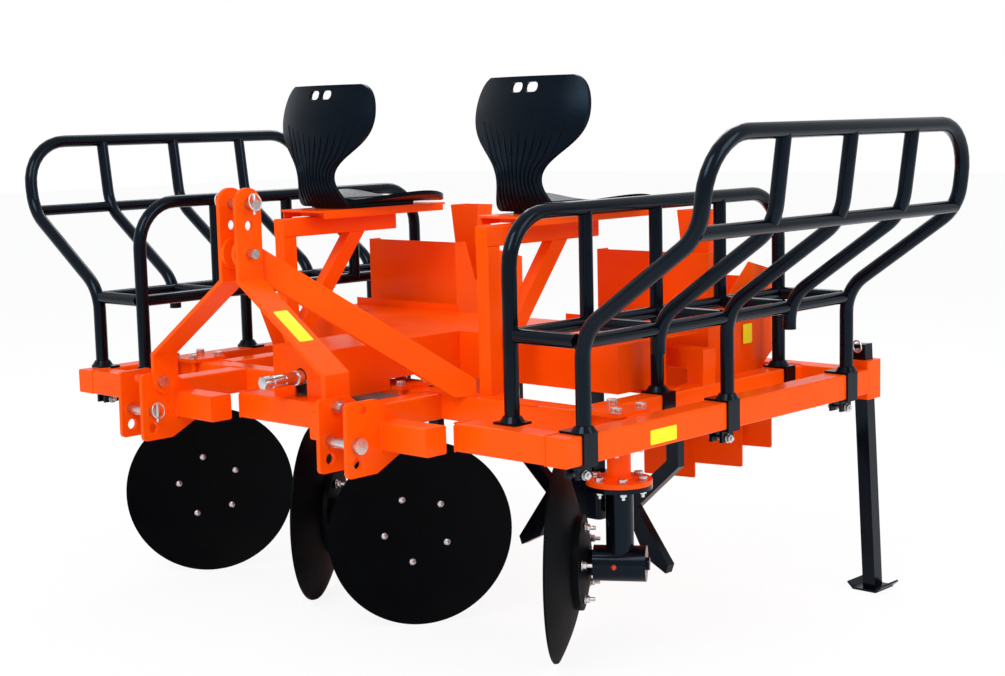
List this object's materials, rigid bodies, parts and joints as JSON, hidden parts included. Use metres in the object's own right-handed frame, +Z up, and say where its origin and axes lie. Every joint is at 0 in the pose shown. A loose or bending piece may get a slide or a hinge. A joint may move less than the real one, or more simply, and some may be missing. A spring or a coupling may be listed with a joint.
{
  "type": "cassava planter",
  "caption": "Tractor-mounted planter: flat frame with hitch and mast, dished ridging discs, seats facing rear, feed funnels, flared crop racks, rear stands",
  "frame": {"origin": "middle of the ground under the machine's overall box", "axes": "+Z up; the hitch faces -Y; +X is the right-hand side seen from the hitch"},
  "size_m": [2.694, 1.5909, 1.474],
  "materials": {
    "orange_paint": "glossy orange paint",
    "black_paint": "glossy black coat",
    "disc_black": "satin black paint",
    "black_plastic": "moulded black plastic",
    "zinc": "zinc plate",
    "bright_steel": "machined steel",
    "grey_iron": "cast, unpainted"
  },
  "bodies": {
    "frame": {"side_rail_left": "orange_paint", "inner_rail_left": "orange_paint", "side_rail_right": "orange_paint", "inner_rail_right": "orange_paint", "front_beam": "orange_paint", "cross_beam": "orange_paint", "rear_beam": "orange_paint", "hitch_frame_left": "orange_paint", "hitch_plates_left": "orange_paint", "lower_pin_left": "zinc", "mast_left": "orange_paint", "brace_left": "orange_paint", "hitch_frame_right": "orange_paint", "hitch_plates_right": "orange_paint", "lower_pin_right": "zinc", "mast_right": "orange_paint", "brace_right": "orange_paint", "top_pin": "zinc", "brace_bolt": "zinc", "mast_bolts": "zinc", "seat_post_left": "orange_paint", "seat_left": "black_plastic", "rack_inner_left": "black_paint", "rack_shelf_left": "black_paint", "rack_outer_left": "black_paint", "rack_clamps_left": "black_paint", "seat_post_right": "orange_paint", "seat_right": "black_plastic", "rack_inner_right": "black_paint", "rack_shelf_right": "black_paint", "rack_outer_right": "black_paint", "rack_clamps_right": "black_paint", "disc_leg_left_outer": "black_paint", "disc_leg_left_inner": "black_paint", "disc_leg_right_inner": "black_paint", "disc_leg_right_outer": "black_paint", "leg_posts": "orange_paint", "leg_clamps": "orange_paint", "gearbox": "grey_iron", "drive_cover": "orange_paint", "chain_housing": "orange_paint", "deck_plate": "orange_paint", "elbow_posts": "orange_paint", "planter_box_left": "orange_paint", "feed_funnel_left": "orange_paint", "tines_left": "black_paint", "closing_plates_left": "orange_paint", "stand_socket_left": "orange_paint", "planter_box_right": "orange_paint", "feed_funnel_right": "orange_paint", "tines_right": "black_paint", "closing_plates_right": "orange_paint", "stand_socket_right": "orange_paint"},
    "disc_left_outer_body": {"disc_left_outer": "disc_black"},
    "disc_left_inner_body": {"disc_left_inner": "disc_black"},
    "disc_right_inner_body": {"disc_right_inner": "disc_black"},
    "disc_right_outer_body": {"disc_right_outer": "disc_black"},
    "drive_shaft_body": {"pto_shaft": "bright_steel"},
    "stand_left_body": {"stand_left": "black_paint"},
    "stand_right_body": {"stand_right": "black_paint"}
  },
  "joints": [
    {"name": "disc_left_outer_spin", "type": "hinge", "parent": "frame", "child": "disc_left_outer_body", "pos_m": [-0.70799, -0.32505, 0.254], "axis": [0.8387, -0.5446, 0], "continuous": true},
    {"name": "disc_left_inner_spin", "type": "hinge", "parent": "frame", "child": "disc_left_inner_body", "pos_m": [-0.21701, -0.32505, 0.254], "axis": [-0.8387, -0.5446, 0], "continuous": true},
    {"name": "disc_right_inner_spin", "type": "hinge", "parent": "frame", "child": "disc_right_inner_body", "pos_m": [0.21701, -0.32505, 0.254], "axis": [0.8387, -0.5446, 0], "continuous": true},
    {"name": "disc_right_outer_spin", "type": "hinge", "parent": "frame", "child": "disc_right_outer_body", "pos_m": [0.70799, -0.32505, 0.254], "axis": [-0.8387, -0.5446, 0], "continuous": true},
    {"name": "drive_shaft_spin", "type": "hinge", "parent": "frame", "child": "drive_shaft_body", "pos_m": [0, -0.6, 0.691], "axis": [0, 1, 0], "continuous": true},
    {"name": "stand_left_lift", "type": "slide", "parent": "frame", "child": "stand_left_body", "axis": [0.0523, 0, 0.9986], "range_m": [0, 0.4]},
    {"name": "stand_right_lift", "type": "slide", "parent": "frame", "child": "stand_right_body", "axis": [-0.0523, 0, 0.9986], "range_m": [0, 0.4]}
  ]
}
